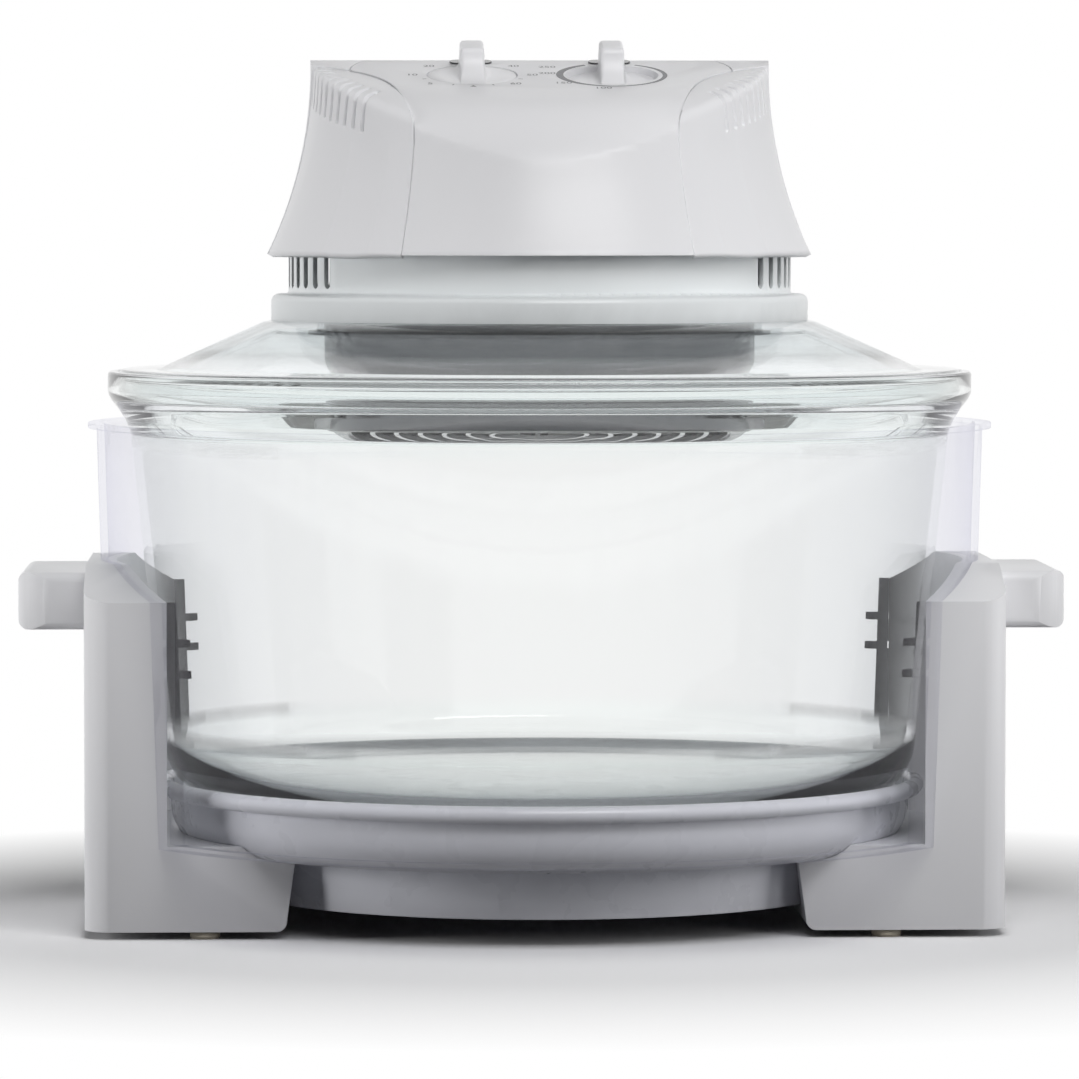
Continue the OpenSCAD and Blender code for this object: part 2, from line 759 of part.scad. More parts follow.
module motor_bracket() {
  color(steel) difference() {
    union() {
      translate([-leg_x - 3, -leg_y - 6, bracket_z])
          cube([2 * leg_x + 6, 2 * leg_y + 12, bracket_t]);
      four_corners(leg_x, leg_y) translate([0, 0, floor_top])
          cylinder(r = 3, h = bracket_z - floor_top + 1, $fn = 48);
    }
    translate([0, 0, bracket_z - 1]) cylinder(r = 12, h = bracket_t + 2);
    for (s = [-1, 1]) translate([s * motor_x, 0, bracket_z - 1])
        cylinder(d = motor_screw_d + 0.4, h = bracket_t + 2, $fn = 48);
  }
}

module motor_bridges() {
  color(steel) for (side = [0, 1]) {
    z = side == 0 ? bridge_z : stator_top + post_h;
    post_z = side == 0 ? bridge_z + bridge_t - 1 : stator_top;
    difference() {
      union() {
        translate([-stator_side / 2, -8, z]) cube([stator_side, 16, bridge_t]);
        translate([0, 0, z]) cylinder(r = 11, h = bridge_t);
        for (s = [-1, 1]) translate([s * motor_x, 0, post_z])
            cylinder(r = 4.5, h = post_h + 1, $fn = 48);
      }
      translate([0, 0, z - 1]) cylinder(d = shaft_d + 2 * run_gap, h = bridge_t + 2);
      for (s = [-1, 1]) translate([s * motor_x, 0, z - 10])
          cylinder(d = motor_screw_d + 0.4, h = 30, $fn = 48);
    }
  }
}

module motor_stator() {
  half = stator_side / 2;
  color(dark_steel) difference() {
    translate([-half, -half, stator_z]) cube([stator_side, stator_side, stator_h]);
    translate([0, 0, stator_z - 1]) cylinder(r = rotor_r + 0.5, h = stator_h + 2);
    // Coil window at the rear
    translate([-coil_side / 2, half - 16, stator_z - 1]) cube([coil_side, 9, stator_h + 2]);
    for (s = [-1, 1]) translate([s * motor_x, 0, stator_z - 1])
        cylinder(d = motor_screw_d + 0.4, h = stator_h + 2, $fn = 48);
  }
}

// The coil wraps the rear limb of the stator
coil_side = 34;
module motor_coil() {
  half = stator_side / 2;
  limb = 7 + side_gap;
  color(copper) difference() {
    translate([-coil_side / 2 + side_gap, half - 16 + side_gap, stator_z - 6])
        cube([coil_side - 2 * side_gap, 24, stator_h + 12]);
    translate([-coil_side / 2 - 1, half - limb, stator_z - side_gap])
        cube([coil_side + 2, limb + side_gap, stator_h + 2 * side_gap]);
  }
}

module motor_rotor() {
  color(steel) translate([0, 0, stator_z]) difference() {
    cylinder(r = rotor_r, h = stator_h);
    translate([0, 0, -1]) cylinder(d = shaft_d + 2 * run_gap, h = stator_h + 2);
  }
}

module motor_screws() {
  low = bracket_z - 2.4;
  high = stator_top + post_h + bridge_t;
  color(steel) for (s = [-1, 1]) translate([s * motor_x, 0, 0]) {
    translate([0, 0, low]) cylinder(d = motor_screw_d, h = high - low + 1, $fn = 48);
    translate([0, 0, low]) cylinder(d = 7.5, h = 2.4, $fn = 48);
    translate([0, 0, high]) cylinder(d = 7.5, h = 2.4, $fn = 48);
  }
}

module terminal_block() {
  color(cool_white) difference() {
    translate([-18, 62, floor_top]) cube([36, 16, 11]);
    for (i = [-1 : 1], y = [66, 74]) translate([i * 11, y, floor_top + 3])
        cylinder(d = 5, h = 20, $fn = 48);
  }
}

module housing_screws() {
  low = floor_z - sheet_t;
  color(steel) four_corners(fix_x, fix_y) {
    translate([0, 0, low - 2.4]) cylinder(d = fix_head, h = 2.4, $fn = 48);
    translate([0, 0, low - 1]) cylinder(d = fix_d, h = floor_top - low + fix_grip + 1, $fn = 48);
  }
}

// Head cover: a flared round form under a tilted panel and a flatter rear top. The
// inset gives the inner face of the wall.
panel_shift = 16;
casing_shift = 45;
soft_lean = 25;
soft_reach = 0.3;
front_disc = cover_top_r / cos(panel_tilt) + 0.5;
rear_disc = cover_top_r + 0.6;
rim_round = 4;

module cover_profile(inset) {
  difference() {
    translate([0, cover_bottom - (inset > 0 ? 1 : 0)]) square([cover_top_r + 40, 90]);
    translate([flare_x, flare_top]) circle(r = flare_r + inset, $fn = 360);
    translate([flare_x - flare_r - inset + 0.02, flare_top]) square([100, 100]);
  }
}

// Round lid with a rounded rim, over a wider block that leaves the flare free. The
// rounding ends where it leans outwards by the given angle, along the flare.
module round_cap(radius, edge, lean, inset) {
  deep = 120;
  flat_r = radius - edge * tan((90 - lean) / 2);
  rotate_extrude($fn = fine) {
    translate([0, -deep]) square([2 * radius, deep - edge * (1 - sin(lean))]);
    translate([0, -deep]) square([flat_r, deep - inset]);
    translate([flat_r, -edge]) circle(r = edge - inset);
  }
}

// Frame of the tilted top: its origin is on the crest, +Z stands square on the surface
module tilted(angle) {
  translate([0, 0, crest_z]) rotate([angle, 0, 0]) children();
}

// The shift moves the soft front rounding's middle back, so it fades towards the sides
module cover_form(inset, shift) {
  intersection() {
    rotate_extrude($fn = fine) cover_profile(inset);
    union() {
      intersection() {
        tilted(panel_tilt) round_cap(front_disc, rim_round, 0, inset);
        tilted(panel_tilt) translate([0, shift, 0])
            round_cap(shift + front_disc + soft_reach, panel_round, soft_lean, inset);
        translate([-150, -150, 0]) cube([300, 150, 400]);
      }
      intersection() {
        tilted(-rear_tilt) round_cap(rear_disc, rim_round, 0, inset);
        translate([-150, 0, 0]) cube([300, 150, 400]);
      }
    }
  }
}

// Half of the panel's seam in plan, from below the front edge to the corner, then an
// elliptical end behind the crest. Its points are drawn for a cover of the base radius.
seam_base_r = 90.4;
seam_knots = [for (p = [[61.6, -108], [55.8, -91], [51.7, -80.5], [50.8, -76.5], [52.9, -68],
    [57, -51.5], [61.8, -36], [68, -25.5], [75, -18]]) p * cover_top_r / seam_base_r];
panel_end = 45;
function blend(a, b, c, d, t) = 0.5 * (2 * b + (c - a) * t
    + (2 * a - 5 * b + 4 * c - d) * t * t + (3 * b - a - 3 * c + d) * t * t * t);
function seam_half() = [for (i = [0 : len(seam_knots) - 2], t = [0 : 0.25 : 0.99])
    let (k = seam_knots, n = len(k) - 1)
    blend(k[max(i - 1, 0)], k[i], k[i + 1], k[min(i + 2, n)], t)];
corner = seam_knots[len(seam_knots) - 1];
function seam_line(grow) = concat(
    [for (p = seam_half()) [p[0] + grow, p[1]]],
    [for (a = [0 : 7.5 : 180]) [(corner[0] + grow) * cos(a), corner[1] + (panel_end + grow) * sin(a)]],
    [for (i = [len(seam_half()) - 1 : -1 : 0]) [-seam_half()[i][0] - grow, seam_half()[i][1]]]);

module panel_prism(grow) {
  translate([0, 0, cover_bottom - 20]) linear_extrude(120) polygon(seam_line(grow));
}

// The seam between side and rear casings runs outwards from the panel's corner
rear_seam_x = 150;
rear_seam_y = corner[1] + (rear_seam_x - corner[0]) * 0.63;

module side_sector(shift) {
  translate([0, 0, cover_bottom - 20]) linear_extrude(120) polygon([[30, corner[1] - shift],
      [corner[0], corner[1] - shift], [rear_seam_x, rear_seam_y - shift],
      [rear_seam_x, -rear_seam_x], [30, -rear_seam_x]]);
}

module rear_sector(shift) {
  translate([0, 0, cover_bottom - 20]) linear_extrude(120) polygon([
      [-rear_seam_x, rear_seam_y + shift], [-corner[0], corner[1] + shift],
      [corner[0], corner[1] + shift], [rear_seam_x, rear_seam_y + shift],
      [rear_seam_x, rear_seam_x], [-rear_seam_x, rear_seam_x]]);
}

module cover_shell(shift) {
  difference() {
    cover_form(0, shift);
    cover_form(cover_wall, shift);
  }
}

// Grooves between the louvre ribs of the right front quarter. They wrap from the top
// over the edge and run down to a level that follows the tilted top.
rib_reach = 7;
module rib_grooves(tilt) {
  difference() {
    intersection() {
      for (i = [0 : rib_count - 1]) rotate([0, 0, rib_first + i * rib_pitch - 90])
        translate([cover_top_r - rib_reach, -groove_w / 2, cover_bottom])
            cube([30, groove_w, 100]);
      tilted(tilt) translate([-150, -150, -rib_drop]) cube([300, 300, 60]);
    }
    intersection() {
      rotate_extrude($fn = fine) cover_profile(groove_depth);
      tilted(tilt) translate([-150, -150, -100]) cube([300, 300, 100 - groove_depth]);
    }
  }
}

cover_boss_d = 9;
module cover_bosses(signs_y) {
  difference() {
    intersection() {
      for (sx = [-1, 1], sy = signs_y) translate([sx * fix_x, sy * fix_y, floor_top])
          cylinder(d = cover_boss_d, h = 100, $fn = 48);
      union() {
        difference() {
          cover_form(cover_wall / 2, casing_shift);
          panel_prism(seam / 2 + side_gap);
        }
        cover_form(cover_wall + side_gap, casing_shift);
        translate([0, 0, floor_top]) cylinder(r = neck_r - 3, h = cover_bottom - floor_top + 1);
      }
    }
    for (sx = [-1, 1], sy = signs_y) translate([sx * fix_x, sy * fix_y, floor_top - 1])
        cylinder(d = fix_d + 2 * run_gap, h = fix_grip + 3, $fn = 48);
  }
}

module side_casing() {
  difference() {
    intersection() {
      cover_shell(casing_shift);
      side_sector(seam / 2);
    }
    panel_prism(seam / 2);
    rib_grooves(panel_tilt);
  }
  intersection() {
    cover_bosses([-1]);
    translate([0, -200, 0]) cube([200, 200, 400]);
  }
}

module right_casing() {
  color(white) side_casing();
}

module left_casing() {
  color(white) mirror([1, 0, 0]) side_casing();
}

// The gland stands square on the flare, above the cover's lower edge and clear of the neck
gland_rise = 20;
gland_clear = 7.5;
gland_z = max(cover_bottom + gland_rise, neck_top + gland_clear);
gland_d = 13;
gland_bore = 7;
gland_stub = cover_wall + 2.5;
gland_drop = flare_top - gland_z;
gland_y = flare_x - sqrt(pow(flare_r, 2) - pow(gland_drop, 2));
gland_lean = asin(gland_drop / flare_r);

module at_gland() {
  translate([0, gland_y, gland_z]) rotate([gland_lean - 90, 0, 0]) children();
}

module rear_casing() {
  color(white) {
    difference() {
      intersection() {
        cover_shell(casing_shift);
        rear_sector(seam / 2);
      }
      panel_prism(seam / 2);
      mirror([0, 1, 0]) rib_grooves(rear_tilt);
      mirror([1, 0, 0]) mirror([0, 1, 0]) rib_grooves(rear_tilt);
      at_gland() translate([0, 0, -20]) cylinder(d = gland_d + 2 * run_gap, h = 40);
    }
    cover_bosses([1]);
  }
}

module cord_gland() {
  collar_gap = 0.5;
  color(black) at_gland() difference() {
    union() {
      translate([0, 0, -gland_stub]) cylinder(d = gland_d, h = gland_stub + 2);
      translate([0, 0, collar_gap]) cylinder(d = gland_d + 4, h = 2.5);
    }
    translate([0, 0, -gland_stub - 1]) cylinder(d = gland_bore, h = gland_stub + 6);
  }
}

// Controls, drawn in the panel's tilted frame
cup_wall = 1.5;
lens_y = 4.4;

module at_knob(side) {
  tilted(panel_tilt) translate([side * knob_x, -knob_y, 0]) children();
}

module obround(length, width, height) {
  translate([-(length - width) / 2, -width / 2, 0]) cube([length - width, width, height]);
  for (s = [-1, 1]) translate([s * (length - width) / 2, 0, 0])
      cylinder(d = width, h = height, $fn = 48);
}

module control_panel() {
  deep = well_depth + 2;
  color(white) difference() {
    union() {
      intersection() {
        cover_shell(panel_shift);
        panel_prism(-seam / 2);
      }
      for (side = [-1, 1]) at_knob(side) translate([0, 0, -deep])
          cylinder(d = (side < 0 ? timer_well_d : heat_well_d) + 2 * cup_wall, h = deep - 0.5);
    }
    for (side = [-1, 1]) at_knob(side) {
      translate([0, 0, -well_depth])
          cylinder(d = side < 0 ? timer_well_d : heat_well_d, h = 20);
      translate([0, 0, -20]) cylinder(d = spindle_d + 3, h = 30);
      translate([0, knob_y - lens_y, -10]) obround(lens_l + 0.2, lens_w + 0.2, 20);
    }
  }
}

// A knob is a disc with a bar across it, whose front end sweeps down into the disc
module knob(disc_top) {
  disc_low = -well_depth + rest_gap;
  back = 13;
  front = 15.5;
  sweep = 13;
  difference() {
    union() {
      translate([0, 0, disc_low]) cylinder(d = knob_d - 1, h = disc_top - disc_low);
      translate([0, 0, disc_low]) cylinder(d = knob_d, h = disc_top - disc_low - 0.5);
      difference() {
        translate([-bar_w / 2, -front, disc_low]) cube([bar_w, front + back, bar_h - disc_low]);
        translate([-bar_w, -front - 1.5, disc_top + sweep]) rotate([0, 90, 0])
            cylinder(r = sweep, h = 2 * bar_w);
        translate([-bar_w, -front - sweep, disc_top + sweep]) cube([2 * bar_w, sweep, 20]);
      }
    }
    translate([0, 0, -well_depth - 1])
        cylinder(d = spindle_d + 2 * run_gap, h = well_depth + 4, $fn = 48);
  }
}

spindle_low = -24;
module spindle() {
  translate([0, 0, spindle_low]) cylinder(d = spindle_d, h = 2.7 - spindle_low, $fn = 48);
}

module timer_knob() {
  color(white) at_knob(-1) knob(0);
}

module thermostat_knob() {
  color(white) at_knob(1) knob(-2.2);
}

module timer_spindle() {
  color(steel) at_knob(-1) spindle();
}

module thermostat_spindle() {
  color(steel) at_knob(1) spindle();
}

// Width, depth and height of the timer's and the thermostat's cases
timer_case = [40, 38, 20];
thermostat_case = [32, 32, 19];

module control_body(size) {
  top = -well_depth - 2 - side_gap;
  difference() {
    translate([-size[0] / 2, -size[1] / 2, top - size[2]]) cube(size);
    translate([0, 0, spindle_low - 0.5])
        cylinder(d = spindle_d + 2 * run_gap, h = 40, $fn = 48);
  }
}

module timer_mechanism() {
  color(steel) at_knob(-1) control_body(timer_case);
}

module thermostat() {
  color(cool_white) at_knob(1) control_body(thermostat_case);
}

module indicator_lenses() {
  color(black) for (side = [-1, 1]) at_knob(side) translate([0, knob_y - lens_y, -2.6]) {
    obround(lens_l, lens_w, 3.2);
  }
}

module indicator_lamps() {
  color(glass) for (side = [-1, 1]) at_knob(side) translate([0, knob_y - lens_y, -5.6])
    rotate([0, 90, 0]) translate([0, 0, -6]) cylinder(d = 5.4, h = 12, $fn = 48);
}

left_support();
right_support();
base_tray();
guard();
rubber_pads();
support_screws();
glass_bowl();
lid_glass();
lid_gasket();
lower_housing();
heater_shroud();
reflector_plate();
halogen_lamp();
lamp_caps();
lamp_clips();
lamp_guard();
circulation_fan();
cooling_fan();
motor_shaft();
motor_rotor();
motor_stator();
motor_coil();
motor_bridges();
motor_bracket();
motor_screws();
terminal_block();
housing_screws();
cord_gland();
control_panel();
left_casing();
right_casing();
rear_casing();
timer_knob();
timer_spindle();
timer_mechanism();
thermostat_knob();
thermostat_spindle();
thermostat();
indicator_lenses();
indicator_lamps();
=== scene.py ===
"""Halogen oven: a glass bowl in a white stand with a clear guard, under a glass lid with
its head. Metres, +Z up, front towards -Y. The sections follow the oven as it is put
together, from the table upwards."""
import math

import bmesh
import bpy
import numpy as np
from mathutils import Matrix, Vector


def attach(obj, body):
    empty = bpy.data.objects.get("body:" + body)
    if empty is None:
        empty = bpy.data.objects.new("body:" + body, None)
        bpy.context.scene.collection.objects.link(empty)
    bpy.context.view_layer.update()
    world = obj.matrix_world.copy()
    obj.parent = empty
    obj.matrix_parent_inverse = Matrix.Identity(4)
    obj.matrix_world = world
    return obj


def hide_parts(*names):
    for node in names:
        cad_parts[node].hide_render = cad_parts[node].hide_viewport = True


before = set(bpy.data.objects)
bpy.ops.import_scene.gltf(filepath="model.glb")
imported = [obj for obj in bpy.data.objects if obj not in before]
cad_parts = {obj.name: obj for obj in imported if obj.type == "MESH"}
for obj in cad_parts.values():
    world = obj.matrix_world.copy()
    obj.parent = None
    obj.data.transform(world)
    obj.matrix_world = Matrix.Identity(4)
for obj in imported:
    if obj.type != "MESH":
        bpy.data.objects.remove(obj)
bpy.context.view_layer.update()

# Studio. A pale table under six soft lamps: a broad one overhead, three in front and one
# low on each side. Table and world look white to the camera, in gloss and through glass,
# and send little light of their own back to the oven.
MM = 0.001
scene = bpy.context.scene
scene.view_settings.view_transform = "Standard"
middle_height = 150 * MM
camera_distance = 2650 * MM
camera_height = 279 * MM
camera_turn = math.radians(-2.0)
lens_mm = 223.5
shade_reach = 0.23
shade_fade = 0.2


class Value:
    """A shader value: an output socket whose + - * / ** add Math nodes."""

    def __init__(self, finish, socket):
        self.finish = finish
        self.socket = socket

    def math(self, operation, *terms):
        settings = {"operation": operation}
        return self.finish.node("ShaderNodeMath", settings, dict(enumerate(terms)))

    def __add__(self, other):
        return self.math("ADD", self, other)

    __radd__ = __add__

    def __sub__(self, other):
        return self.math("SUBTRACT", self, other)

    def __rsub__(self, other):
        return self.math("SUBTRACT", other, self)

    def __mul__(self, other):
        return self.math("MULTIPLY", self, other)

    __rmul__ = __mul__

    def __truediv__(self, other):
        return self.math("DIVIDE", self, other)

    def __pow__(self, other):
        return self.math("POWER", self, other)

    def clamp(self):
        return self.math("MINIMUM", self.math("MAXIMUM", self, 0.0), 1.0)


class Finish:
    """A finish's node tree, of a material or the world."""

    def __init__(self, name, owner=None):
        self.material = owner or bpy.data.materials.new(name)
        self.material.use_nodes = True
        self.tree = self.material.node_tree
        self.tree.nodes.clear()

    def node(self, kind, settings=None, sockets=None, out=0):
        """Adds one node: first its settings, then its sockets' values or links."""
        made = self.tree.nodes.new(kind)
        for key, value in (settings or {}).items():
            setattr(made, key, value)
        for key, value in (sockets or {}).items():
            socket = made.inputs[key]
            if isinstance(value, Value):
                self.tree.links.new(value.socket, socket)
            elif isinstance(value, tuple) and socket.type == "RGBA":
                socket.default_value = (*value, 1.0)
            else:
                socket.default_value = value
        return Value(self, made.outputs[out])

    def mix(self, share, first, second):
        """Colour between first and second, by share."""
        sockets = {0: share, 6: first, 7: second}
        return self.node("ShaderNodeMix", {"data_type": "RGBA"}, sockets, out=2)

    def place(self):
        return self.node("ShaderNodeTexCoord", out="Object")

    def noise(self, per_metre, detail=2.0, place=None):
        sockets = {"Scale": per_metre, "Detail": detail, "Vector": place or self.place()}
        return self.node("ShaderNodeTexNoise", {}, sockets)

    def surface(self, shader, kind="ShaderNodeOutputMaterial"):
        output = self.tree.nodes.new(kind)
        self.tree.links.new(shader.socket, output.inputs["Surface"])
        return self.material


def seen_directly(finish):
    """1 for rays from the camera, off gloss and through glass, 0 for soft bounces."""
    rays = [finish.node("ShaderNodeLightPath", out="Is %s Ray" % kind)
            for kind in ("Camera", "Glossy", "Transmission")]
    return (rays[0] + rays[1] + rays[2]).clamp()


def table_finish():
    """Pale table: it takes shadows near the oven, fades to plain white further out, and
    is darker for the light that it sends up."""
    finish = Finish("pale_table")
    spot = finish.node("ShaderNodeVectorMath", {"operation": "LENGTH"},
                       {0: finish.place()}, out="Value")
    far = ((spot - shade_reach) / shade_fade).clamp()
    direct = seen_directly(finish)
    colour = finish.mix(direct, (0.15, 0.15, 0.16), (1.0, 1.0, 1.01))
    near = finish.node("ShaderNodeBsdfDiffuse", {}, {"Color": colour})
    white = finish.node("ShaderNodeEmission", {}, {"Color": (1.0, 1.0, 1.0), "Strength": direct})
    sockets = {0: far, 1: near, 2: white}
    return finish.surface(finish.node("ShaderNodeMixShader", {}, sockets))


def world_finish():
    """White for the camera, gloss and glass, and no light for the rest."""
    world = bpy.data.worlds.new("studio")
    scene.world = world
    finish = Finish("studio", world)
    strength = seen_directly(finish)
    sockets = {"Color": (1.0, 1.0, 1.0), "Strength": strength}
    finish.surface(finish.node("ShaderNodeBackground", {}, sockets), "ShaderNodeOutputWorld")


def soft_lamp(name, spot, aim, size, watts, mirrored=True):
    """Flat soft lamp at spot, turned to aim, hidden from the camera itself and, where it
    isn't mirrored, from gloss."""
    lamp = bpy.data.lights.new(name, "AREA")
    lamp.shape = "RECTANGLE"
    lamp.size, lamp.size_y = size
    lamp.energy = watts
    holder = bpy.data.objects.new(name, lamp)
    scene.collection.objects.link(holder)
    holder.location = spot
    holder.rotation_euler = (Vector(aim) - Vector(spot)).to_track_quat("-Z", "Y").to_euler()
    holder.visible_camera = False
    holder.visible_transmission = False
    holder.visible_glossy = mirrored


world_finish()
soft_lamp("lamp_over", (0.0, -0.1, 1.25), (0.0, 0.0, 0.1), (1.5, 1.1), 2.7)
soft_lamp("lamp_high", (0.3, -1.0, 1.05), (0.0, 0.0, 0.15), (0.9, 0.5), 6.7)
soft_lamp("lamp_near", (0.1, -0.75, 0.55), (0.0, -0.05, 0.22), (0.5, 0.3), 0.7)
soft_lamp("lamp_slant", (0.9, -1.1, 0.55), (0.0, 0.0, 0.15), (0.6, 0.7), 3.4, False)
soft_lamp("lamp_left", (-1.1, -0.1, 0.15), (0.0, 0.0, 0.12), (0.5, 0.4), 7.2, False)
soft_lamp("lamp_right", (1.1, -0.1, 0.15), (0.0, 0.0, 0.12), (0.5, 0.4), 4.0, False)

table_reach = 6.0
table_mesh = bpy.data.meshes.new("table")
table_mesh.from_pydata([(-table_reach, -table_reach, 0), (table_reach, -table_reach, 0),
                        (table_reach, table_reach, 0), (-table_reach, table_reach, 0)],
                       [], [(0, 1, 2, 3)])
table = bpy.data.objects.new("table", table_mesh)
scene.collection.objects.link(table)
table.data.materials.append(table_finish())

camera = bpy.data.objects.new("camera", bpy.data.cameras.new("camera"))
scene.collection.objects.link(camera)
camera.data.lens = lens_mm
camera.data.clip_end = 20.0
camera.location = (camera_distance * math.sin(camera_turn),
                   -camera_distance * math.cos(camera_turn), camera_height)
gaze = Vector((0.0, 0.0, middle_height)) - camera.location
camera.rotation_euler = gaze.to_track_quat("-Z", "Y").to_euler()
scene.camera = camera


# Supports: handle, pillar and foot of one injection moulding in glossy white plastic,
# left and right, screwed up into the base tray.
def moulded_plastic(name, colour, rough, coat=0.0):
    """Glossy moulded plastic: faint clouding of the colour and a fine orange peel."""
    finish = Finish(name)
    cloud = finish.noise(9.0, 3.0)
    deep = tuple(channel * 0.965 for channel in colour)
    shade = finish.mix(cloud, deep, colour)
    peel = finish.noise(1400.0, 1.0)
    bump = finish.node("ShaderNodeBump", {}, {"Strength": 0.03, "Distance": 0.0002,
                                              "Height": peel})
    patch = finish.noise(60.0, 4.0)
    sockets = {"Base Color": shade, "Roughness": rough + 0.08 * (patch - 0.5), "Normal": bump,
               "Coat Weight": coat, "Coat Roughness": 0.06}
    return finish.surface(finish.node("ShaderNodeBsdfPrincipled", {}, sockets))


def dressed(node, body, finish, edge=0.0, steps=2):
    """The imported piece's own shape, with merged faces and its hard edges rounded."""
    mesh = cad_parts[node].data.copy()
    mesh.materials.clear()
    mesh.materials.append(finish)
    work = bmesh.new()
    work.from_mesh(mesh)
    bmesh.ops.remove_doubles(work, verts=work.verts, dist=2e-6)
    bmesh.ops.dissolve_limit(work, angle_limit=math.radians(0.4), verts=work.verts,
                             edges=work.edges)
    work.to_mesh(mesh)
    work.free()
    mesh.shade_smooth()
    piece = bpy.data.objects.new(node + "_finished", mesh)
    scene.collection.objects.link(piece)
    if edge:
        bevel = piece.modifiers.new("edges", "BEVEL")
        bevel.width = edge
        bevel.segments = steps
        bevel.limit_method = "ANGLE"
        bevel.angle_limit = math.radians(30)
        bevel.harden_normals = True
    else:
        mesh.set_sharp_from_angle(angle=math.radians(30))
    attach(piece, body)
    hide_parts(node)
    return piece


moulded_edge = 1.0 * MM
thin_edge = 0.4 * MM
white_gloss = moulded_plastic("white_gloss", (0.84, 0.84, 0.86), 0.32)
for side in ("left", "right"):
    dressed(side + "_support", "stand", white_gloss, moulded_edge, 3)


# Base tray: a dish with a rolled rim that the bowl stands in, over a skirt ring, moulded
# in a slightly cooler white.
tray_edge = 0.5 * MM
tray_white = moulded_plastic("tray_white", (0.77, 0.78, 0.83), 0.28, 0.2)
dressed("base_tray", "stand", tray_white, tray_edge)


# Guard: one moulding of clear polycarbonate round the bowl, whose cut edges look faintly
# lavender.
def clear_plastic_finish():
    """Thin clear plastic: see-through face on, tinted and shiny at a slant."""
    finish = Finish("clear_plastic")
    slant = finish.node("ShaderNodeLayerWeight", {}, {"Blend": 0.35}, out="Facing")
    tint = finish.mix(slant, (0.995, 0.995, 0.995), (0.92, 0.92, 0.945))
    clear = finish.node("ShaderNodeBsdfTransparent", {}, {"Color": tint})
    gloss = finish.node("ShaderNodeBsdfGlossy", {}, {"Color": (0.9, 0.9, 0.94),
                                                    "Roughness": 0.12})
    grazing = finish.node("ShaderNodeLayerWeight", {}, {"Blend": 0.5}, out="Facing") ** 5.0
    return finish.surface(finish.node("ShaderNodeMixShader", {}, {
        0: grazing * 0.45 + 0.02, 1: clear, 2: gloss}))


dressed("guard", "stand", clear_plastic_finish(), thin_edge)


# Glass bowl and lid glass: pressed soda glass, thick at the bottom, faintly green. Their
# outlines are corners (radius, height, rounding) in millimetres, run from the axis outwards.
thin_change = 160.0


def glass_finish(name, colour, low, high, layer):
    """Pressed glass: clear with real bending where it is thick, and between the heights
    low and high thin, tinted at a slant, and straight to look through. The change from
    one to the other takes 1 / thin_change metres. Shadows pass through all of it."""
    finish = Finish(name)
    thick = finish.node("ShaderNodeBsdfPrincipled", {}, {
        "Base Color": colour, "Roughness": 0.0, "IOR": 1.5, "Transmission Weight": 1.0})
    slant = finish.node("ShaderNodeLayerWeight", {}, {"Blend": 0.3}, out="Facing")
    tint = finish.mix(slant, (0.992, 0.995, 0.993), layer)
    clear = finish.node("ShaderNodeBsdfTransparent", {}, {"Color": tint})
    gloss = finish.node("ShaderNodeBsdfGlossy", {}, {"Color": (1.0, 1.0, 1.0),
                                                    "Roughness": 0.03})
    grazing = finish.node("ShaderNodeLayerWeight", {}, {"Blend": 0.5}, out="Facing") ** 5.0
    thin = finish.node("ShaderNodeMixShader", {}, {0: grazing * 0.6 + 0.03, 1: clear, 2: gloss})
    height = finish.node("ShaderNodeSeparateXYZ", {}, {0: finish.place()}, out="Z")
    wall = (height - low) * thin_change
    roof = (high - height) * thin_change
    share = wall.clamp() * roof.clamp()
    body = finish.node("ShaderNodeMixShader", {}, {0: share, 1: thick, 2: thin})
    through = finish.node("ShaderNodeBsdfTransparent", {}, {"Color": (0.95, 0.965, 0.96)})
    shadow = finish.node("ShaderNodeLightPath", out="Is Shadow Ray")
    soft = finish.node("ShaderNodeLightPath", out="Is Diffuse Ray")
    return finish.surface(finish.node("ShaderNodeMixShader", {}, {
        0: (shadow + soft).clamp(), 1: body, 2: through}))


def rounded(corners, steps=8):
    """Outline through corners (x, y, round): each corner becomes an arc that touches
    both of its straights."""
    points = []
    count = len(corners)
    for i, (x, y, radius) in enumerate(corners):
        here = np.array((x, y), float)
        if radius <= 0:
            points.append(here)
            continue
        back = np.array(corners[i - 1][:2], float) - here
        ahead = np.array(corners[(i + 1) % count][:2], float) - here
        back /= np.linalg.norm(back)
        ahead /= np.linalg.norm(ahead)
        half = 0.5 * math.acos(np.clip(back @ ahead, -1, 1))
        reach = radius / math.tan(half)
        centre = here + (back + ahead) / np.linalg.norm(back + ahead) * radius / math.sin(half)
        first = here + back * reach - centre
        last = here + ahead * reach - centre
        start = math.atan2(first[1], first[0])
        turn = (math.atan2(last[1], last[0]) - start + math.pi) % (2 * math.pi) - math.pi
        angles = start + turn * np.linspace(0, 1, steps + 1)
        points.extend(centre + radius * np.stack([np.cos(angles), np.sin(angles)], 1))
    return np.array(points)


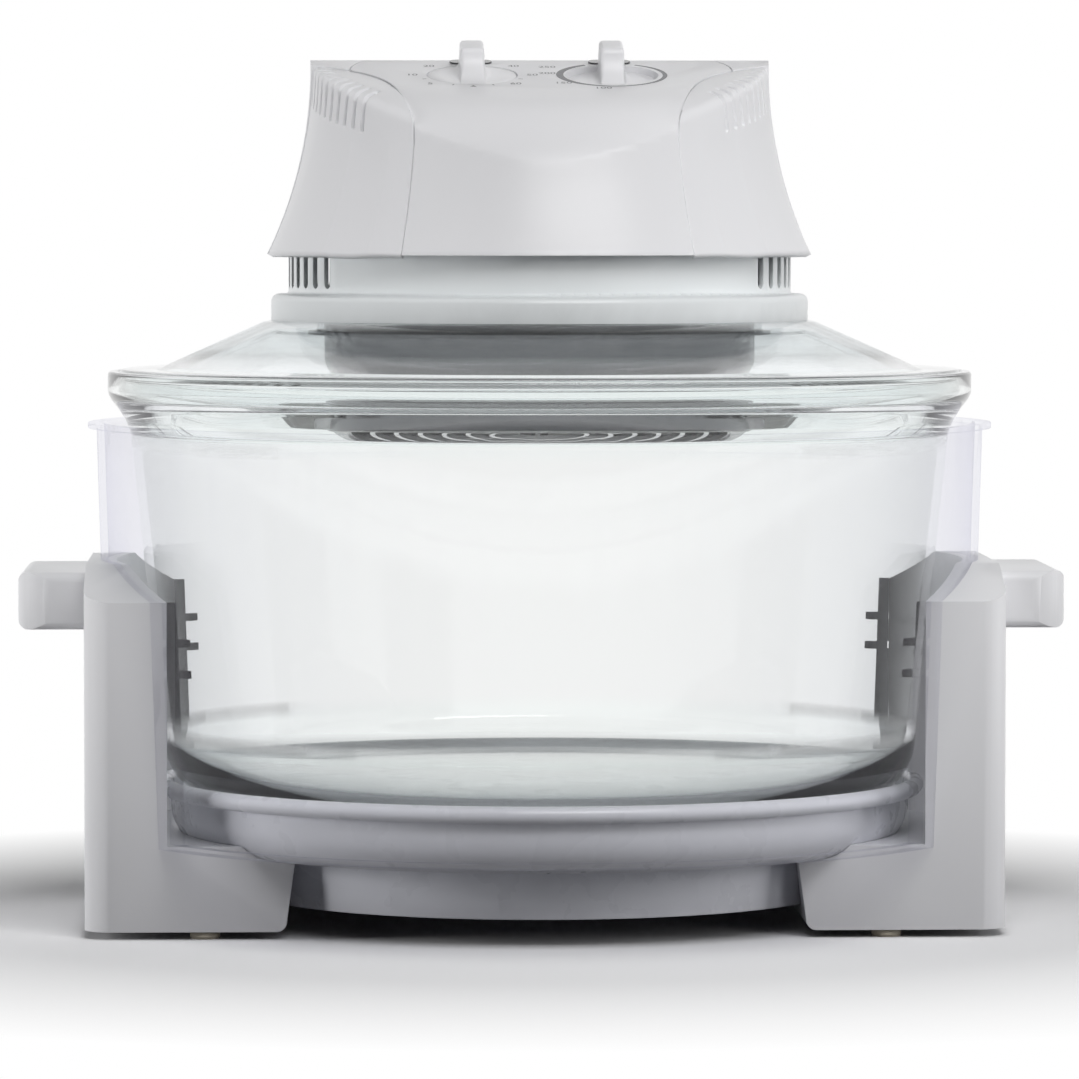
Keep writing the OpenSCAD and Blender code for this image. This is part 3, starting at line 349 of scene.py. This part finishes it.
def sheet(name, grid, finish, wrap=(False, False)):
    """Mesh of a grid of points (rows, columns, 3), its faces wound by the grid's order.
    Rows or columns that wrap close on themselves, and doubled points merge."""
    rows, columns = grid.shape[:2]
    index = np.arange(rows * columns).reshape(rows, columns)
    if wrap[0]:
        index = np.vstack([index, index[:1]])
    if wrap[1]:
        index = np.hstack([index, index[:, :1]])
    faces = np.stack([index[:-1, :-1], index[:-1, 1:], index[1:, 1:], index[1:, :-1]], -1)
    mesh = bpy.data.meshes.new(name)
    mesh.from_pydata(grid.reshape(-1, 3).tolist(), [], faces.reshape(-1, 4).tolist())
    work = bmesh.new()
    work.from_mesh(mesh)
    bmesh.ops.remove_doubles(work, verts=work.verts, dist=1e-6)
    work.to_mesh(mesh)
    work.free()
    mesh.materials.append(finish)
    mesh.shade_smooth()
    piece = bpy.data.objects.new(name, mesh)
    scene.collection.objects.link(piece)
    return piece


def turned(name, outline, finish, turns=256):
    """Closed outline of (radius, height) in millimetres, run clockwise, carried round the
    upright axis: x = r sin a, y = -r cos a, z = h."""
    angles = np.linspace(0, 2 * math.pi, turns, endpoint=False)
    radius, height = outline[:, 0] * MM, outline[:, 1] * MM
    grid = np.stack([radius[:, None] * np.sin(angles), -radius[:, None] * np.cos(angles),
                     np.repeat(height[:, None], turns, 1)], -1)
    piece = sheet(name, grid, finish, (True, True))
    piece.data.set_sharp_from_angle(angle=math.radians(50))
    return piece


def worn_by(piece, body, slot, *nodes):
    """Rides the piece on its body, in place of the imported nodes."""
    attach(piece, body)
    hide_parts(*nodes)
    return piece


wall_from = 72 * MM
wall_to = 192 * MM
bowl_glass = glass_finish("bowl_glass", (0.955, 0.98, 0.97), wall_from, wall_to,
                          (0.955, 0.965, 0.96))
bowl_outline = rounded([
    (0, 48, 0), (146.5, 48, 24), (161.5, 193, 8), (163.6, 198, 8), (166.5, 202.5, 6),
    (170.5, 207.5, 8), (170.5, 217, 1.5), (166.5, 217, 1.2), (166.5, 206.7, 0.8),
    (159.5, 206.7, 1.0), (158, 193, 12), (143.2, 56, 19), (0, 56, 0)])
worn_by(turned("bowl", bowl_outline, bowl_glass), "bowl", "clear_glass", "glass_bowl")

cone_from = 219 * MM
cone_to = 240 * MM
lid_glass = glass_finish("lid_glass_clear", (0.90, 0.92, 0.93), cone_from, cone_to,
                         (0.84, 0.87, 0.88))
lid_outline = rounded([
    (88, 237, 0.8), (106, 237, 1.5), (109, 236.4, 3), (149, 218.6, 3), (152, 217.8, 1),
    (165.8, 217.8, 1.5), (165.8, 207, 0.8), (160.8, 207, 0.8), (160.8, 213.8, 1.5),
    (150, 213.8, 1.5), (109, 232.0, 2), (105, 233, 1), (88, 233, 0.8)])
worn_by(turned("lid_cone", lid_outline[::-1], lid_glass), "lid", "clear_glass", "lid_glass")


# Lower housing: slotted neck and flange ring of the head, in a cooler white.
housing_white = moulded_plastic("housing_white", (0.84, 0.87, 0.88), 0.3, 0.1)
dressed("lower_housing", "lid", housing_white, thin_edge)


# Heater shroud: a deep pan of polished sheet under the lid glass. Its dark colour is a painted
# reflection: it stands in for the dark surroundings that the polish mirrors.
def sheet_metal(name, colour, rough):
    """Rolled sheet: metal with a faint clouding of its polish."""
    finish = Finish(name)
    cloud = finish.noise(35.0, 3.0)
    sockets = {"Base Color": finish.mix(cloud, tuple(c * 0.85 for c in colour), colour),
               "Metallic": 1.0, "Roughness": rough + 0.12 * (cloud - 0.5)}
    return finish.surface(finish.node("ShaderNodeBsdfPrincipled", {}, sockets))


sheet_edge = 0.3 * MM
# Painted dark reflection: the polished steel's colour is darkened in place of the dark
# surroundings it would mirror.
shroud_painted_dark = sheet_metal("shroud_painted_dark", (0.2, 0.2, 0.21), 0.2)
dressed("heater_shroud", "lid", shroud_painted_dark, sheet_edge)


# Head cover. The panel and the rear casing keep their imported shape. The side casings are
# drawn anew: a flared wall under the tilted top, with grooves between louvre ribs, a lip
# beside the panel's seam and a soft crease down the side.
for node in ("control_panel", "rear_casing"):
    dressed(node, "lid", white_gloss, sheet_edge)

# Lengths of the head in millimetres
crest = 339.3
panel_tilt = math.radians(13.0)
cover_top_r = 90.4
flare_r = 167.0
flare_top = 336.8
cover_bottom = 263.0
cover_wall = 2.4
rim_edge = 3.0
soft_r = 42.0
soft_shift = 45.0
soft_from = 111.8
seam_gap = 0.3
seam_knots = np.array([(61.6, -108), (55.8, -91), (51.7, -80.5), (50.8, -76.5), (52.9, -68),
                       (57, -51.5), (61.8, -36), (68, -25.5), (75, -18)], float)
seam_rim_y = -76.5
seam_end_x, seam_end_y = 75.0, -18.0
rear_seam_y = -18.4
rear_seam_slope = 0.63
groove_first = 50.0
groove_pitch = 3.6
groove_count = 10
groove_half = 1.05
groove_depth = 1.5
groove_length = 15.2
groove_onto_top = 7.0
lip_depth = 0.55
lip_width = 6.5
facet_from = 40.0
facet_span = 13.5
facet_depth = 0.9


def smooth(share):
    """Soft step: 3 t^2 - 2 t^3 of t held between 0 and 1."""
    t = np.clip(share, 0, 1)
    return t * t * (3 - 2 * t)


def seam_x(y):
    """Half width of the panel's seam at depth y, by a curve through the knots: between
    two knots 0.5 (2b + (c - a) t + (2a - 5b + 4c - d) t^2 + (3b - a - 3c + d) t^3)."""
    k = np.vstack([seam_knots[:1], seam_knots, seam_knots[-1:]])
    t = np.linspace(0, 1, 12, endpoint=False)[:, None]
    curve = []
    for a, b, c, d in zip(k[:-3], k[1:-2], k[2:-1], k[3:]):
        curve.append(0.5 * (2 * b + (c - a) * t + (2 * a - 5 * b + 4 * c - d) * t ** 2
                            + (3 * b - a - 3 * c + d) * t ** 3))
    curve = np.vstack(curve + [seam_knots[-1:]])
    return np.interp(y, curve[:, 1], curve[:, 0])


def wall_r(z):
    """Radius of the flare: top radius + f - sqrt(f^2 - (top - z)^2)."""
    drop = flare_top - np.minimum(z, flare_top)
    return cover_top_r + flare_r - np.sqrt(flare_r ** 2 - drop ** 2)


def top_z(r, turn):
    """Height of the casing's top: the tilted plane less a soft rounding about a middle
    behind the crest, crest - r cos a tan t - (p - sqrt(p^2 - q^2)) / cos t, where q is
    how far past the flat part the point lies."""
    forward = r * np.cos(turn)
    reach = np.hypot(r * np.sin(turn), forward / math.cos(panel_tilt) + soft_shift)
    past = np.clip(reach - soft_from, 0, 40)
    sink = (soft_r - np.sqrt(soft_r ** 2 - past ** 2)) / math.cos(panel_tilt)
    return crest - forward * math.tan(panel_tilt) - sink


def casing_rows(turn, corner_r, corner_z):
    """Radius and height of each row at every turn, and the number of rows on the top: the
    top from beside the seam to the edge, a soft edge (1-t)^2 a + 2t(1-t) c + t^2 b round
    the corner c, and the wall, with the rows close together where the grooves are."""
    seam_y = np.linspace(seam_rim_y, seam_end_y, 200)
    seam_turn = np.arctan2(seam_x(seam_y), -seam_y)
    seam_r = np.interp(turn, seam_turn, np.hypot(seam_x(seam_y), seam_y))
    deep = np.maximum(corner_r - seam_r - 0.4, rim_edge + 0.2)
    rows = [(corner_r - d, top_z(corner_r - d, turn))
            for d in (rim_edge + (deep - rim_edge) * share for share in np.linspace(1, 0, 24))]
    on_top = len(rows)
    low_z = corner_z - rim_edge
    start, end = rows[-1], (wall_r(low_z), low_z)
    for t in np.linspace(0, 1, 9)[1:-1]:
        rows.append(tuple((1 - t) ** 2 * a + 2 * t * (1 - t) * c + t * t * b
                          for a, c, b in zip(start, (corner_r, corner_z), end)))
    span = low_z - cover_bottom
    close = 20.0
    for down in np.arange(0, close, 0.5):
        rows.append((wall_r(low_z - down), low_z - down))
    for share in np.linspace(0, 1, 26):
        z = low_z - (close + (span - close) * share)
        rows.append((wall_r(z), z))
    r, z = np.array(rows).transpose(1, 0, 2)
    return r, z, on_top


def casing_relief(r, z, turn, corner_r, corner_z):
    """Height of the relief over the plain casing: the grooves, the lip beside the seam
    and the flatter facet between the lip and the crease."""
    degrees = np.degrees(turn)
    groove = np.zeros_like(r)
    for k in range(groove_count):
        aside = np.abs(degrees - groove_first - k * groove_pitch) * math.pi / 180 * r
        groove = np.maximum(groove, smooth((groove_half - aside) / 0.45))
    plane_z = crest - r * np.cos(turn) * math.tan(panel_tilt)
    ends = (smooth((z - plane_z + groove_length) / 0.5)
            * smooth((r - corner_r + groove_onto_top) / 1.2 + 0.5))
    raised = -groove_depth * groove * ends
    beside = np.abs(r * np.sin(turn) - seam_x(-r * np.cos(turn))) * np.cos(turn)
    raised -= lip_depth * np.clip(1 - beside / lip_width, 0, 1)
    below = smooth((corner_z - z - 6) / 16)
    facet = (degrees - facet_from) / facet_span
    raised -= facet_depth * np.clip(1 - (2 * facet - 1) ** 2, 0, 1) * below
    return raised


def casing_grid():
    """Right casing: rows run from the top's inner edge over the rim and down the wall,
    columns from the panel's seam to the rear seam, x = r sin a, y = -r cos a."""
    turn = np.radians(np.linspace(27, 92, 1600))
    corner_z = np.full_like(turn, 330.0)
    for _ in range(12):
        corner_z = top_z(wall_r(corner_z), turn)
    corner_r = wall_r(corner_z)
    r, z, on_top = casing_rows(turn, corner_r, corner_z)
    along_r, along_z = np.gradient(r, axis=0), np.gradient(z, axis=0)
    length = np.hypot(along_r, along_z)
    raised = casing_relief(r, z, turn, corner_r, corner_z)
    r, z = r - along_z / length * raised, z + along_r / length * raised
    x, y = r * np.sin(turn), -r * np.cos(turn)
    columns = np.linspace(0, 1, 300)
    grid = []
    for i in range(len(r)):
        # The rows on the top start where the last of them does
        started = max(i, on_top - 1)
        inside = x[started] - seam_x(y[started]) - seam_gap
        front = turn[np.argmax(inside > 0)]
        behind = y[i] - (rear_seam_y + (x[i] - seam_end_x) * rear_seam_slope)
        back = turn[np.argmax((behind > 0) & (turn > front))]
        a = front + (back - front) * columns
        grid.append(np.stack([np.interp(a, turn, x[i]), np.interp(a, turn, y[i]),
                              np.interp(a, turn, z[i])], -1))
    return np.array(grid) * MM


def mirrored(grid):
    """The same grid on the other side, x to -x, wound the same way round."""
    return (grid * (-1, 1, 1))[:, ::-1]


casing = casing_grid()[:, ::-1]
for side, grid in (("right", casing), ("left", mirrored(casing))):
    piece = sheet(side + "_casing_shell", grid, white_gloss)
    wall = piece.modifiers.new("wall", "SOLIDIFY")
    wall.thickness = cover_wall * MM
    wall.offset = -1.0
    wall.use_even_offset = False
    worn_by(piece, "lid", "white_plastic", side + "_casing")


# Knobs: a disc with a thin bar across it, whose front end sweeps down into the disc, on
# the tilted panel. The timer's stands flush, the thermostat's a little deeper.
def on_panel(points):
    """From the panel's frame to the oven's: y = v cos t - w sin t, z = crest + v sin t
    + w cos t, and x = u."""
    u, v, w = np.moveaxis(np.asarray(points, float), -1, 0)
    lean, rise = math.cos(panel_tilt), math.sin(panel_tilt)
    return np.stack([u, v * lean - w * rise, crest + v * rise + w * lean], -1) * MM


knob_x = 27.3
knob_y = 27.7
knob_r = 17.4
knob_top = 11.3
knob_sink = 2.2
skirt_depth = 5.6
bar_half = 5.0
bar_taper = 0.35
bar_rear = 11.6
sweep_from = -2.5
sweep_length = 13.0
foot_round = 2.6
crown_round = 1.7


def knob_grid(side, base):
    """Knob: each row cuts it at one depth v. The bar's height above the disc falls in a
    hollow curve 1 - sqrt(1 - (1 - t)^2) to the front, and its foot and top are rounded."""
    depths = knob_r * np.sin(np.linspace(-math.pi / 2, math.pi / 2, 121))
    turn = np.linspace(0, math.pi / 2, 7)
    rows = []
    for v in depths:
        half = math.sqrt(max(knob_r ** 2 - v * v, 0.0)) + 1e-4
        tall = knob_top - base
        if v < sweep_from:
            run = min((sweep_from - v) / sweep_length, 1.0)
            tall *= 1 - math.sqrt(1 - (1 - run) ** 2)
        tall *= float(1 - smooth((v - bar_rear) / 1.6))
        bar = min(bar_half, half * 0.8)
        foot = min(foot_round, tall * 0.45)
        crown = min(crown_round, tall * 0.45)
        reach = min(bar + foot, half * 0.9)
        side_u = [half, half, half - 0.4, reach + (half - 0.4 - reach) * 0.5]
        side_w = [-skirt_depth, base - 0.5, base, base]
        arc_u = bar + (reach - bar) * (1 - np.sin(turn))
        arc_w = base + foot * (1 - np.cos(turn))
        top_u = bar - bar_taper - crown * (1 - np.cos(turn))
        top_w = base + tall - crown * (1 - np.sin(turn))
        u = np.concatenate([side_u, arc_u, top_u, [0.0]])
        w = np.concatenate([side_w, arc_w, top_w, [base + tall]])
        u = np.concatenate([-u[:-1], u[::-1]])
        w = np.concatenate([w[:-1], w[::-1]])
        rows.append(np.stack([side * knob_x + u, np.full_like(u, v - knob_y), w], -1))
    return on_panel(np.array(rows))


for name, side, base in (("timer", -1, 0.0), ("thermostat", 1, -knob_sink)):
    piece = sheet(name + "_grip", knob_grid(side, base), white_gloss, (False, True))
    worn_by(piece, name + "_control", "white_plastic", name + "_knob")


# Dial markings, printed on the panel in grey: plain numbers, ticks, a pointer and a ring
# round the thermostat's knob.
def print_finish():
    """Matt grey ink, a little uneven."""
    finish = Finish("print_grey")
    shade = finish.mix(finish.noise(300.0), (0.16, 0.16, 0.17), (0.22, 0.22, 0.23))
    sockets = {"Base Color": shade, "Roughness": 0.5}
    return finish.surface(finish.node("ShaderNodeBsdfPrincipled", {}, sockets))


def lettered(text, size):
    """Flat shapes of a number, centred: its points (x, y) and its faces."""
    curve = bpy.data.curves.new(text, "FONT")
    curve.body = text
    curve.size = size
    curve.align_x = "CENTER"
    curve.align_y = "CENTER"
    holder = bpy.data.objects.new(text, curve)
    mesh = bpy.data.meshes.new_from_object(holder)
    points = [(point.co.x, point.co.y) for point in mesh.vertices]
    faces = [list(face.vertices) for face in mesh.polygons]
    bpy.data.objects.remove(holder)
    bpy.data.curves.remove(curve)
    bpy.data.meshes.remove(mesh)
    return points, faces


figure_size = 4.6
print_rise = 0.04
timer_figure_r = 23.5
timer_figures = ((225, "5"), (180, "10"), (135, "20"), (90, "30"), (45, "40"), (0, "50"),
                 (315, "60"))
heat_figures = ((-24.8, 15, "250"), (-25.2, 3, "200"), (-19.5, -15, "150"),
                (-4.3, -24.5, "100"))
tick_turns = (202.5, 247.5, 292.5, 337.5)
tick_from, tick_to = 19.4, 21.2
tick_half = 0.25
pointer = [(-1.3, -22.4), (1.3, -22.4), (0.0, -19.8)]
ring_r = 21.75


def dial_marks():
    """All marks in one mesh just above the panel. The ring is open behind the knob's bar,
    and its width w + e |cos a| is widest at its left."""
    shapes = []
    figures = [(-1, timer_figure_r * math.cos(math.radians(a)),
                timer_figure_r * math.sin(math.radians(a)), text) for a, text in timer_figures]
    figures += [(1, u, v, text) for u, v, text in heat_figures]
    for side, u, v, text in figures:
        points, faces = lettered(text, figure_size)
        shapes.append((side, [(u + a, v + b) for a, b in points], faces))
    for a in tick_turns:
        c, d = math.cos(math.radians(a)), math.sin(math.radians(a))
        bar = [(r * c - w * d, r * d + w * c)
               for r, w in ((tick_from, -tick_half), (tick_to, -tick_half),
                            (tick_to, tick_half), (tick_from, tick_half))]
        shapes.append((-1, bar, [[0, 1, 2, 3]]))
    shapes.append((-1, pointer, [[0, 1, 2]]))
    turn = np.radians(np.linspace(118, 422, 153))
    wide = 0.9 + np.where(np.cos(turn) < 0, 1.9, 0.9) * np.abs(np.cos(turn))
    ring = [((ring_r - share * w) * math.cos(a), (ring_r - share * w) * math.sin(a))
            for share in (0, 1) for a, w in zip(turn, wide)]
    count = len(turn)
    strips = [[i + 1 + count, i + 1, i, i + count] for i in range(count - 1)]
    shapes.append((1, ring, strips))
    spots, faces = [], []
    for side, points, own in shapes:
        faces += [[corner + len(spots) for corner in face] for face in own]
        spots += [(side * knob_x + u, v - knob_y, print_rise) for u, v in points]
    mesh = bpy.data.meshes.new("dial_marks")
    mesh.from_pydata(on_panel(spots).tolist(), [], faces)
    mesh.materials.append(print_finish())
    piece = bpy.data.objects.new("dial_marks", mesh)
    scene.collection.objects.link(piece)
    return piece


worn_by(dial_marks(), "lid", "white_plastic")


# Inner pieces, pads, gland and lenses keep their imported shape, each in the finish of its
# material.
def matt(name, colour, rough, grain=60.0):
    """Rubber, ceramic, resin or varnish: matt, with a fine grain and uneven colour."""
    finish = Finish(name)
    cloud = finish.noise(grain, 4.0)
    shade = finish.mix(cloud, tuple(channel * 0.85 for channel in colour), colour)
    bump = finish.node("ShaderNodeBump", {}, {"Strength": 0.1, "Distance": 0.0002,
                                              "Height": finish.noise(grain * 15.0)})
    sockets = {"Base Color": shade, "Roughness": rough + 0.1 * (cloud - 0.5), "Normal": bump}
    return finish.surface(finish.node("ShaderNodeBsdfPrincipled", {}, sockets))


steel = sheet_metal("plated_steel", (0.62, 0.62, 0.63), 0.3)
white_resin = moulded_plastic("switch_resin", (0.7, 0.69, 0.65), 0.5)
quartz = glass_finish("quartz", (0.92, 0.92, 0.94), 0.0, 0.5, (0.8, 0.8, 0.82))
in_finish = {
    "rubber_pads": matt("pad_rubber", (0.62, 0.56, 0.45), 0.6),
    "lid_gasket": matt("silicone", (0.6, 0.59, 0.56), 0.5),
    "reflector_plate": sheet_metal("bright_sheet", (0.8, 0.8, 0.82), 0.15),
    "halogen_lamp": quartz,
    "lamp_caps": matt("lamp_ceramic", (0.76, 0.74, 0.7), 0.7),
    "circulation_fan": sheet_metal("fan_sheet", (0.78, 0.78, 0.8), 0.22),
    "cooling_fan": matt("fan_resin", (0.03, 0.03, 0.035), 0.5),
    "motor_stator": matt("stator_varnish", (0.05, 0.05, 0.055), 0.35, 400.0),
    "motor_coil": sheet_metal("copper_winding", (0.62, 0.27, 0.12), 0.3),
    "terminal_block": white_resin,
    "thermostat": white_resin,
    "cord_gland": matt("black_rubber", (0.02, 0.02, 0.02), 0.55),
    "indicator_lenses": moulded_plastic("smoky_lens", (0.045, 0.045, 0.05), 0.12, 0.5),
    "indicator_lamps": quartz,
}
for name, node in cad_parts.items():
    if not node.hide_render:
        for place in node.material_slots:
            place.material = in_finish.get(name, steel)
